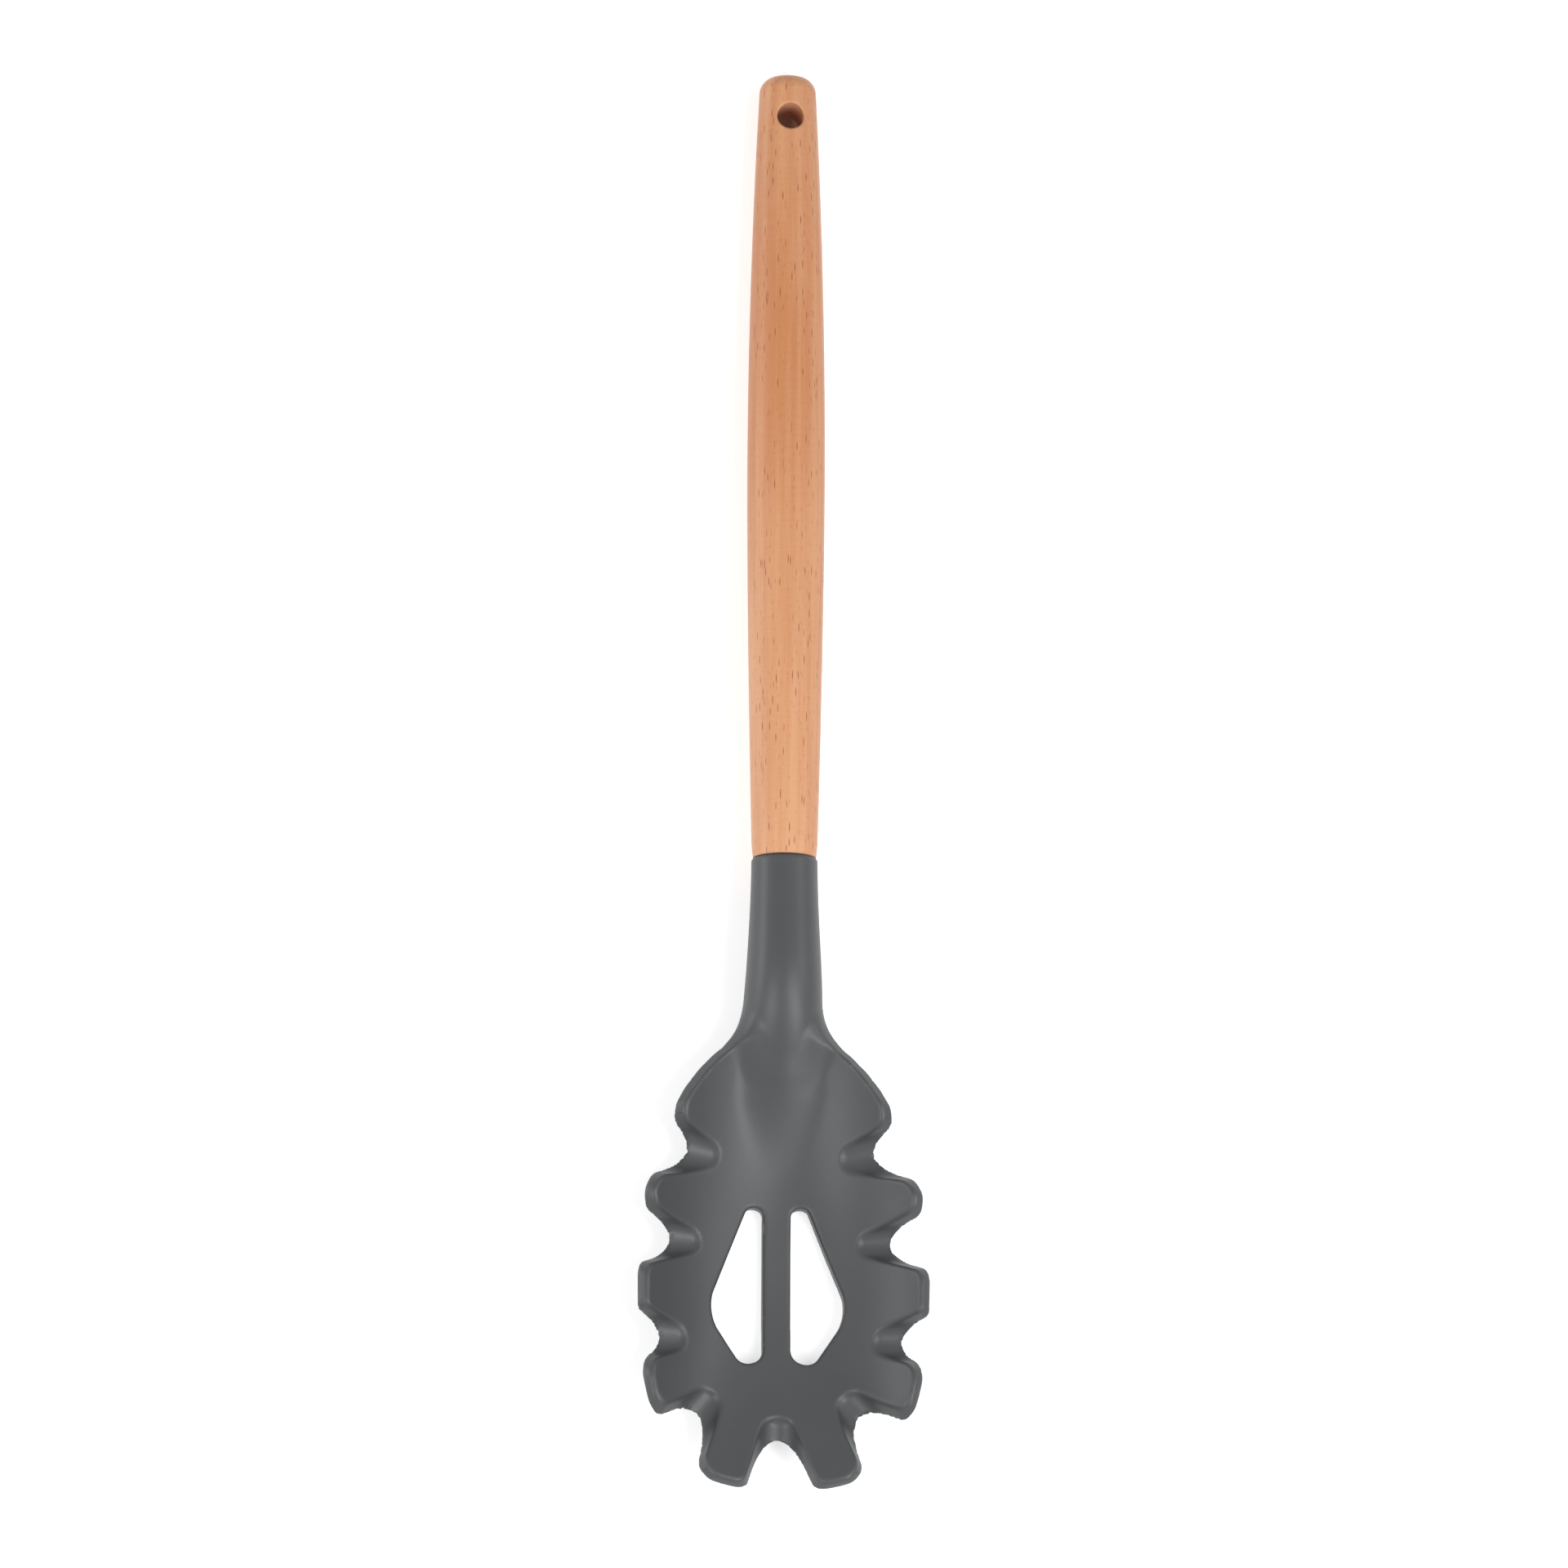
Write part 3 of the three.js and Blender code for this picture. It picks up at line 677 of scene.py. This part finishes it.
    drill = add_node(
        tree, "GeometryNodeMeshCylinder",
        {
            "Vertices": DRILL_SIDES, "Side Segments": DRILL_ROWS,
            "Radius": given["hole_radius"], "Depth": DRILL_DEPTH,
        },
    )
    aim = add_node(tree, "FunctionNodeAlignRotationToVector", {"Vector": entry["up"]}, axis="Z")
    middle = scaled(entry["along"], given["length"] - given["hole_setback"])
    middle = summed(entry["collar"], middle)
    drill = add_node(
        tree, "GeometryNodeTransform",
        {"Geometry": drill.outputs[0], "Translation": middle, "Rotation": aim.outputs[0]},
    )
    drilled = add_node(
        tree, "GeometryNodeMeshBoolean", {"Mesh 1": closed.outputs[0], "Mesh 2": drill.outputs[0]},
        operation="DIFFERENCE", solver="MANIFOLD",
    )
    smooth_faces = add_node(
        tree, "GeometryNodeSetShadeSmooth", {"Geometry": drilled.outputs[0]}, domain="FACE"
    )
    bend = add_node(tree, "GeometryNodeInputMeshEdgeAngle").outputs[0]
    gentle = Term(tree, bend) < HANDLE_CREASE
    crisp = add_node(
        tree, "GeometryNodeSetShadeSmooth",
        {"Geometry": smooth_faces.outputs[0], "Shade Smooth": gentle}, domain="EDGE",
    )
    real = add_node(tree, "GeometryNodeRealizeInstances", {"Geometry": crisp.outputs[0]})
    dressed = add_node(
        tree, "GeometryNodeSetMaterial", {"Geometry": real.outputs[0], "Material": entry["beech"]}
    )
    add_node(tree, "NodeGroupOutput", {"Geometry": dressed.outputs[0]})
    lay_out(tree)
    return tree


def scaled_place(tree, vector, scale, turn=(0, 0, 0)):
    made = add_node(tree, "ShaderNodeMapping", {"Vector": vector, "Scale": scale, "Rotation": turn})
    return made.outputs[0]


def noise(tree, vector, scale, detail, roughness):
    made = add_node(
        tree, "ShaderNodeTexNoise",
        {"Vector": vector, "Scale": scale, "Detail": detail, "Roughness": roughness},
    )
    return Term(tree, made.outputs[0])


def ranged(tree, value, low, high, to_low=0.0, to_high=1.0, smooth_step=False):
    made = add_node(
        tree, "ShaderNodeMapRange",
        {"Value": value, "From Min": low, "From Max": high, "To Min": to_low, "To Max": to_high},
        interpolation_type="SMOOTHSTEP" if smooth_step else "LINEAR",
    )
    return Term(tree, made.outputs[0])


def mixed(tree, factor, a, b):
    """The colour a where the factor is 0, and b where it is 1."""
    a, b = (tone if isinstance(tone, bpy.types.NodeSocket) else (*tone, 1) for tone in (a, b))
    made = add_node(tree, "ShaderNodeMix", {0: factor, 6: a, 7: b}, data_type="RGBA")
    return made.outputs[2]


def shader_group(name, inputs, outputs):
    tree = bpy.data.node_groups.new(name, "ShaderNodeTree")
    for title, kind in inputs:
        tree.interface.new_socket(name=title, in_out="INPUT", socket_type=kind)
    for title, kind in outputs:
        tree.interface.new_socket(name=title, in_out="OUTPUT", socket_type=kind)
    return tree, tree.nodes.new("NodeGroupInput").outputs


# The middle of a noise, which holds most of it.
NOISE_LOW = 0.3
NOISE_HIGH = 0.7
SPECKLE_LOW = 0.52
SPECKLE_HIGH = 0.72
COARSE_GRAIN = 0.37
FINE_SHARE = 0.6
COARSE_SHARE = 0.4


def moulded_grain():
    """The fine grain that a blasted mould leaves, with its specks and a slow drift of tone."""
    known = bpy.data.node_groups.get("moulded_grain")
    if known:
        return known
    tree, given = shader_group(
        "moulded_grain",
        (("Place", "NodeSocketVector"), ("Grain", "NodeSocketFloat"), ("Drift", "NodeSocketFloat")),
        (("Height", "NodeSocketFloat"), ("Speckle", "NodeSocketFloat"), ("Tone", "NodeSocketFloat")),
    )
    fine = noise(tree, given["Place"], given["Grain"], 3.0, 0.6)
    coarse = noise(tree, given["Place"], Term(tree, given["Grain"]) * COARSE_GRAIN, 2.0, 0.5)
    height = fine * FINE_SHARE + coarse * COARSE_SHARE
    speckle = ranged(tree, fine, SPECKLE_LOW, SPECKLE_HIGH, smooth_step=True)
    tone = noise(tree, given["Place"], given["Drift"], 3.0, 0.55)
    tone = ranged(tree, tone, NOISE_LOW, NOISE_HIGH)
    add_node(tree, "NodeGroupOutput", {"Height": height, "Speckle": speckle, "Tone": tone})
    lay_out(tree)
    return tree


def new_material(name):
    made = bpy.data.materials.new(name)
    made.use_nodes = True
    tree = made.node_tree
    shader = next(node for node in tree.nodes if node.type == "BSDF_PRINCIPLED")
    place = add_node(tree, "ShaderNodeTexCoord").outputs["Object"]
    return made, tree, shader, place


def set_shader(shader, **values):
    for name, value in values.items():
        shader.inputs[name.replace("_", " ")].default_value = value


def grain_on(tree, place, grain, drift):
    """The moulded grain in a material, with grains and drifts of tone to the metre."""
    inputs = {"Place": place, "Grain": grain, "Drift": drift}
    return add_node(tree, "ShaderNodeGroup", inputs, node_tree=moulded_grain()).outputs


# A moulded or cured surface: its grain and drift to the metre, its roughness between the specks and
# on them, and the height of its grain.
Surface = namedtuple("Surface", "grain drift rough_between rough_specks height")
SILICONE_SURFACE = Surface(3600, 60, 0.43, 0.51, 0.00002)
NYLON_SURFACE = Surface(2200, 90, 0.42, 0.55, 0.00002)
ADHESIVE_SURFACE = Surface(1200, 260, 0.3, 0.45, 0.00004)
# How much paler than their colour the core and the film drift.
NYLON_PALER = 1.5
ADHESIVE_PALER = 1.7


def grained_material(name, dark, pale, surface):
    """A moulded or cured material: drifting tone, fine grain in the gloss and in the surface."""
    made, tree, shader, place = new_material(name)
    texture = grain_on(tree, place, surface.grain, surface.drift)
    feed(tree, mixed(tree, texture["Tone"], dark, pale), shader.inputs["Base Color"])
    gloss = ranged(tree, texture["Speckle"], 0, 1, surface.rough_between, surface.rough_specks)
    feed(tree, gloss, shader.inputs["Roughness"])
    bump = {"Height": texture["Height"], "Strength": 1.0, "Distance": surface.height}
    feed(tree, add_node(tree, "ShaderNodeBump", bump).outputs[0], shader.inputs["Normal"])
    lay_out(tree)
    return made


# Noises in the wood: waves to the metre across and along the grain, detail and roughness.
WoodNoise = namedtuple("WoodNoise", "across along detail roughness")
WANDER = WoodNoise(60, 9, 2.0, 0.5)
BANDS = WoodNoise(330, 7, 3.0, 0.55)
BROAD = WoodNoise(40, 16, 1.0, 0.5)
FIBRE = WoodNoise(3600, 90, 3.0, 0.6)
RIPPLE = WoodNoise(300, 1500, 2.0, 0.6)

# Share of each in the wood's tone, which starts below 0, and the warmer tone towards the upper end.
BANDS_SHARE = 0.75
BROAD_SHARE = 0.6
FIBRE_SHARE = 0.5
RIPPLE_SHARE = 0.35
TONE_START = 0.38
WARM_FROM = 0.04
WARM_TO = 0.13
WARM_SHARE = 0.45

# Flecks: places to the metre across and along, where a fleck fades in its place, and its strength.
Fleck = namedtuple("Fleck", "across along fade_from fade_to strength")
LONG_FLECK = Fleck(1500, 180, 0.1, 0.28, 0.85)
SMALL_FLECK = Fleck(2000, 330, 0.06, 0.26, 0.45)
SMALL_FLECK_CHANCE = 0.45

# Long flecks crowd in a wandering band on each side of the handle's middle and thin out from it.
FLECK_BAND = 0.0046
FLECK_WANDER = 0.008
CROWD_FROM = 0.0006
CROWD_TO = 0.003
CROWD_CHANCE = 0.95
SPARSE_CHANCE = 0.35

# Gloss and relief of the wood.
FIBRE_ROUGH = (0.4, 0.54)
FLECK_ROUGH = 0.1
FIBRE_HEIGHT = 0.5
RIPPLE_HEIGHT = 0.2
FLECK_DEPTH = 0.3
WOOD_RELIEF = {"Strength": 0.8, "Distance": 0.00003}


def beech(finish):
    """Satin beech: warm lengthwise bands, short dark flecks, fine fibres and a ripple across them."""
    made, tree, shader, place = new_material("beech")
    tilt = (math.asin(-ALONG.z), 0, 0)
    grain = scaled_place(tree, place, (1, 1, 1), tilt)

    def stretched(kind):
        return scaled_place(tree, grain, (kind.across, kind.along, kind.across))

    def wood_noise(kind):
        return noise(tree, stretched(kind), 1.0, kind.detail, kind.roughness)

    wander, bands, broad, fibre, ripple = map(wood_noise, (WANDER, BANDS, BROAD, FIBRE, RIPPLE))
    spot = add_node(tree, "ShaderNodeSeparateXYZ", {0: grain}).outputs
    warmth = ranged(tree, spot[1], WARM_FROM, WARM_TO, 0.0, WARM_SHARE, smooth_step=True)

    tone = ranged(tree, bands, NOISE_LOW, NOISE_HIGH) * BANDS_SHARE
    tone = tone + ranged(tree, broad, NOISE_LOW, NOISE_HIGH) * BROAD_SHARE - TONE_START
    tone = tone + warmth + (fibre - 0.5) * FIBRE_SHARE + (ripple - 0.5) * RIPPLE_SHARE
    wood = mixed(tree, tone.clip(), tuple(finish.beech_light), tuple(finish.beech_deep))

    def flecks(kind, kept):
        where = {"Vector": stretched(kind), "Scale": 1.0}
        cells = add_node(tree, "ShaderNodeTexVoronoi", where, feature="F1").outputs
        chance = add_node(tree, "ShaderNodeSeparateColor", {0: cells["Color"]}).outputs[0]
        shown = Term(tree, chance) < kept
        mark = ranged(
            tree, cells["Distance"], kind.fade_from, kind.fade_to, 1.0, 0.0, smooth_step=True
        )
        return mark * shown * kind.strength

    across = Term(tree, spot[0]).apply("ABSOLUTE")
    from_band = (across - FLECK_BAND + (wander - 0.5) * FLECK_WANDER).apply("ABSOLUTE")
    crowd = ranged(tree, from_band, CROWD_FROM, CROWD_TO, CROWD_CHANCE, SPARSE_CHANCE)
    fleck = flecks(LONG_FLECK, crowd).apply("MAXIMUM", flecks(SMALL_FLECK, SMALL_FLECK_CHANCE))
    wood = mixed(tree, fleck, wood, tuple(finish.beech_fleck))
    feed(tree, wood, shader.inputs["Base Color"])

    gloss = ranged(tree, fibre, NOISE_LOW, NOISE_HIGH, *FIBRE_ROUGH) + fleck * FLECK_ROUGH
    feed(tree, gloss, shader.inputs["Roughness"])
    height = fibre * FIBRE_HEIGHT + ripple * RIPPLE_HEIGHT - fleck * FLECK_DEPTH
    bump = add_node(tree, "ShaderNodeBump", {"Height": height, **WOOD_RELIEF})
    feed(tree, bump.outputs[0], shader.inputs["Normal"])
    set_shader(shader, Specular_IOR_Level=0.4)
    set_shader(shader, Sheen_Weight=0.4, Sheen_Roughness=0.4, Sheen_Tint=(1, 0.8, 0.72, 1))
    lay_out(tree)
    return made


class SERVER_OT_silicone_head(bpy.types.Operator):
    """Make the silicone head: neck, bowl, teeth and drain slots, hollow for the core"""

    bl_idname = "pasta_server.silicone_head"
    bl_label = "Silicone head"

    def execute(self, context):
        settings = context.scene.pasta_server
        head = settings.head
        half = head.bowl_width / 2 + SIDE_ROOM
        tip = -head.bowl_centre - head.bowl_lower - TIP_ROOM
        low = (-half, tip, -head.floor_drop - head.wall - UNDER_ROOM)
        high = (half, COLLAR_ROOM, head.collar_radius + OVER_ROOM)
        piece = net_object("silicone_head_skin", head_field, settings, low, high, head.cell)
        core = net_object("core_hollow", core_field, settings, low, high, head.core_cell)
        cut = piece.modifiers.new("hollow", "BOOLEAN")
        cut.operation = "DIFFERENCE"
        cut.solver = "MANIFOLD"
        cut.object = core
        mesh = evaluated_mesh(piece, "silicone_head_skin")
        piece.data = mesh
        bpy.data.objects.remove(core)
        mesh.polygons.foreach_set("use_smooth", [True] * len(mesh.polygons))
        mesh.set_sharp_from_angle(angle=HEAD_CREASE)
        finish = settings.finish
        grey, bloom = tuple(finish.silicone), tuple(finish.silicone_bloom)
        mesh.materials.clear()
        mesh.materials.append(grained_material("silicone", grey, bloom, SILICONE_SURFACE))
        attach(piece, "root")
        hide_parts("silicone_head")
        return {"FINISHED"}


class SERVER_OT_wooden_handle(bpy.types.Operator):
    """Turn the beech handle with its tenon, swell, rounded end and hanging hole"""

    bl_idname = "pasta_server.wooden_handle"
    bl_label = "Wooden handle"

    def execute(self, context):
        settings = context.scene.pasta_server
        handle = settings.handle
        wood = beech(settings.finish)
        piece = new_object("beech_handle", bpy.data.meshes.new("beech_handle"))
        tree = handle_tree()
        values = {name: getattr(handle, name) for name in HANDLE_INPUTS + HANDLE_COUNTS}
        values.update(collar=collar_place(handle), right=RIGHT, along=ALONG, up=UP, beech=wood)
        lathe = piece.modifiers.new("lathe", "NODES")
        lathe.node_group = tree
        for socket in tree.interface.items_tree:
            if socket.in_out == "INPUT":
                lathe[socket.identifier] = values[socket.name]
        piece.data = evaluated_mesh(piece, "beech_handle")
        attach(piece, "root")
        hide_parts("wooden_handle")
        return {"FINISHED"}


class SERVER_OT_inner_pieces(bpy.types.Operator):
    """Finish the core and the film of adhesive, which keep their modelled shapes"""

    bl_idname = "pasta_server.inner_pieces"
    bl_label = "Core and adhesive"

    def execute(self, context):
        finish = context.scene.pasta_server.finish
        nylon = tuple(finish.nylon)
        film = tuple(finish.adhesive)
        pale_nylon = tuple(NYLON_PALER * part for part in nylon)
        pale_film = tuple(ADHESIVE_PALER * part for part in film)
        made = {
            "head_core": grained_material("nylon", nylon, pale_nylon, NYLON_SURFACE),
            "glue_sleeve": grained_material("adhesive", film, pale_film, ADHESIVE_SURFACE),
        }
        for name, material in made.items():
            node = frame["nodes"][name]
            node.data.materials.clear()
            node.data.materials.append(material)
        return {"FINISHED"}


FLOOR_HALF = 6.0
FLOOR_GRAIN = 400
FLOOR_DRIFT = 3
FLOOR_PALER = 1.01
FLOOR_LIFT = 0.5
SKY_LEVEL = 0.4
# The spot of floor that shows through the hanging hole is painted a deep, warm shade, and gets no lift.
# The camera's slant puts it a little beside the hole.
SLANT_RIGHT = 0.0009
SLANT_UP = 0.0015
UNDER_HOLE = (HOLE["pos_m"][0] + SLANT_RIGHT, HOLE["pos_m"][1] + SLANT_UP, 0.0)
UNDER_HOLE_REACH = 0.0034
UNDER_HOLE_FADE = 1.5 * UNDER_HOLE_REACH
# Colour of the painted shade on the floor under the hanging hole.
UNDER_HOLE_PAINTED_SHADE = (0.45, 0.25, 0.17)


def floor_material(finish):
    """Pale ground, which the picture sees a little lighter than the object does, with its shadow, and a
    painted warm shade under the hanging hole.
    """
    made, tree, shader, place = new_material("pale_ground")
    texture = grain_on(tree, place, FLOOR_GRAIN, FLOOR_DRIFT)
    ground = tuple(finish.floor)
    paler = tuple(min(FLOOR_PALER * part, 1) for part in ground)
    tone = mixed(tree, texture["Tone"], ground, paler)
    # Painted shade: near the spot under the hanging hole the floor's colour turns warm and dark, and it
    # gets no lift.
    from_hole = add_node(
        tree, "ShaderNodeVectorMath", {0: place, 1: UNDER_HOLE}, operation="DISTANCE"
    ).outputs["Value"]
    clear = ranged(tree, from_hole, UNDER_HOLE_REACH, UNDER_HOLE_FADE)
    tone = mixed(tree, clear, UNDER_HOLE_PAINTED_SHADE, tone)
    feed(tree, tone, shader.inputs["Base Color"])
    set_shader(shader, Roughness=0.9, Specular_IOR_Level=0.1, Emission_Color=(1, 1, 1, 1))
    lift = light_path_seen(tree) * clear * FLOOR_LIFT
    feed(tree, lift, shader.inputs["Emission Strength"])
    lay_out(tree)
    return made


def light_path_seen(tree):
    """1 for what the picture sees, straight or by reflection or through glass, and otherwise 0."""
    path = add_node(tree, "ShaderNodeLightPath").outputs
    seen = Term(tree, path["Is Camera Ray"]).apply("MAXIMUM", Term(tree, path["Is Glossy Ray"]))
    return seen.apply("MAXIMUM", Term(tree, path["Is Transmission Ray"]))


Lamp = namedtuple("Lamp", "name place aim along length width power")
LAMPS = (
    Lamp("right_strip", (0.41, -0.38, 0.75), (0, -0.085, 0), (0.50, -0.66, -0.56), 0.70, 0.32, 4.7),
    Lamp("left_strip", (-0.58, -0.39, 0.72), (0, -0.085, 0), (-0.42, -0.72, -0.55), 0.46, 0.32, 2.7),
    Lamp("right_panel", (0.69, 0.14, 0.57), (0, -0.045, 0.01), (0, 1, 0), 0.4, 0.2, 1.0),
    Lamp("left_low_panel", (-0.90, 0.14, 0.16), (0, -0.045, 0.01), (0, 1, 0), 0.6, 0.16, 2.2),
    Lamp("head_panel", (0.0, -0.95, 0.40), (0, -0.08, 0.01), (1, 0, 0), 0.8, 0.3, 0.4),
)

# The camera, found from the outline of the head, the collar's arc and the hanging hole. The angles
# turn the part about its length, tip its head end towards the camera, and turn it in the picture.
CAMERA_ROLL = math.radians(6.85)
CAMERA_TIP = math.radians(11.61)
CAMERA_SPIN = math.radians(0.24)
CAMERA_DISTANCE = 3.0
PIXELS_PER_METRE = 5343.0
COLLAR_PIXEL = (960.6, 1052.6)
SENSOR = 36.0
CLIP_END = 20


def place_camera(scene, collar):
    roll = Matrix.Rotation(CAMERA_ROLL, 3, "Y")
    tip = Matrix.Rotation(-CAMERA_TIP, 3, "X")
    spin = Matrix.Rotation(-CAMERA_SPIN, 3, "Z")
    basis = Matrix((RIGHT, ALONG, UP)).transposed()
    right, up, back = (basis @ row for row in (spin @ tip @ roll))
    focal = PIXELS_PER_METRE * CAMERA_DISTANCE
    place = collar + back * CAMERA_DISTANCE
    half = PICTURE / 2
    aside = right * ((half - COLLAR_PIXEL[0]) / focal) + up * ((COLLAR_PIXEL[1] - half) / focal)
    ahead = aside - back
    back = -ahead.normalized()
    right = up.cross(back).normalized()
    up = back.cross(right)
    data = bpy.data.cameras.new("camera")
    data.sensor_width = SENSOR
    data.lens = focal * SENSOR / PICTURE
    data.clip_end = CLIP_END
    camera = bpy.data.objects.new("camera", data)
    turned = Matrix((right, up, back)).transposed().to_4x4()
    camera.matrix_world = Matrix.Translation(place) @ turned
    scene.collection.objects.link(camera)
    scene.camera = camera


class SERVER_OT_stage(bpy.types.Operator):
    """Set the pale floor, the lamps, the sky and the camera"""

    bl_idname = "pasta_server.stage"
    bl_label = "Stage"

    def execute(self, context):
        scene = context.scene
        settings = scene.pasta_server
        mesh = bpy.data.meshes.new("floor")
        corners = [(FLOOR_HALF * x, FLOOR_HALF * y, 0) for x, y in ((-1, -1), (1, -1), (1, 1), (-1, 1))]
        mesh.from_pydata(corners, [], [(0, 1, 2, 3)])
        mesh.materials.append(floor_material(settings.finish))
        new_object("floor", mesh)

        world = bpy.data.worlds.new("sky")
        world.use_nodes = True
        tree = world.node_tree
        ground = next(node for node in tree.nodes if node.type == "BACKGROUND")
        ground.inputs["Color"].default_value = (1, 1, 1, 1)
        level = light_path_seen(tree).where(1.0, SKY_LEVEL)
        feed(tree, level, ground.inputs["Strength"])
        scene.world = world

        for lamp in LAMPS:
            data = bpy.data.lights.new(lamp.name, "AREA")
            data.shape = "RECTANGLE"
            data.size = lamp.length
            data.size_y = lamp.width
            data.energy = lamp.power
            made = bpy.data.objects.new(lamp.name, data)
            back = (Vector(lamp.place) - Vector(lamp.aim)).normalized()
            across = back.cross(Vector(lamp.along)).normalized()
            turned = Matrix((across.cross(back), across, back)).transposed().to_4x4()
            made.matrix_world = Matrix.Translation(lamp.place) @ turned
            scene.collection.objects.link(made)

        place_camera(scene, collar_place(settings.handle))
        scene.view_settings.view_transform = "Standard"
        return {"FINISHED"}


OPERATORS = (
    SERVER_OT_silicone_head,
    SERVER_OT_wooden_handle,
    SERVER_OT_inner_pieces,
    SERVER_OT_stage,
)


class SERVER_PT_pieces(bpy.types.Panel):
    """Pieces of the server and their settings"""

    bl_idname = "SERVER_PT_pieces"
    bl_label = "Pasta server"
    bl_space_type = "VIEW_3D"
    bl_region_type = "UI"
    bl_category = "Server"

    def draw(self, context):
        for operator in OPERATORS:
            self.layout.operator(operator.bl_idname)
        settings = context.scene.pasta_server
        for group in (settings.handle, settings.head, settings.finish):
            box = self.layout.box()
            for name in group.__annotations__:
                box.prop(group, name)


CLASSES = (HandleSizes, HeadSizes, Finishes, ServerSettings, *OPERATORS, SERVER_PT_pieces)


def register():
    for made in CLASSES:
        bpy.utils.register_class(made)
    bpy.types.Scene.pasta_server = PointerProperty(type=ServerSettings)


def unregister():
    del bpy.types.Scene.pasta_server
    for made in reversed(CLASSES):
        bpy.utils.unregister_class(made)


def main():
    register()
    bpy.ops.pasta_server.silicone_head()
    bpy.ops.pasta_server.wooden_handle()
    bpy.ops.pasta_server.inner_pieces()
    bpy.ops.pasta_server.stage()


if __name__ == "__main__":
    main()
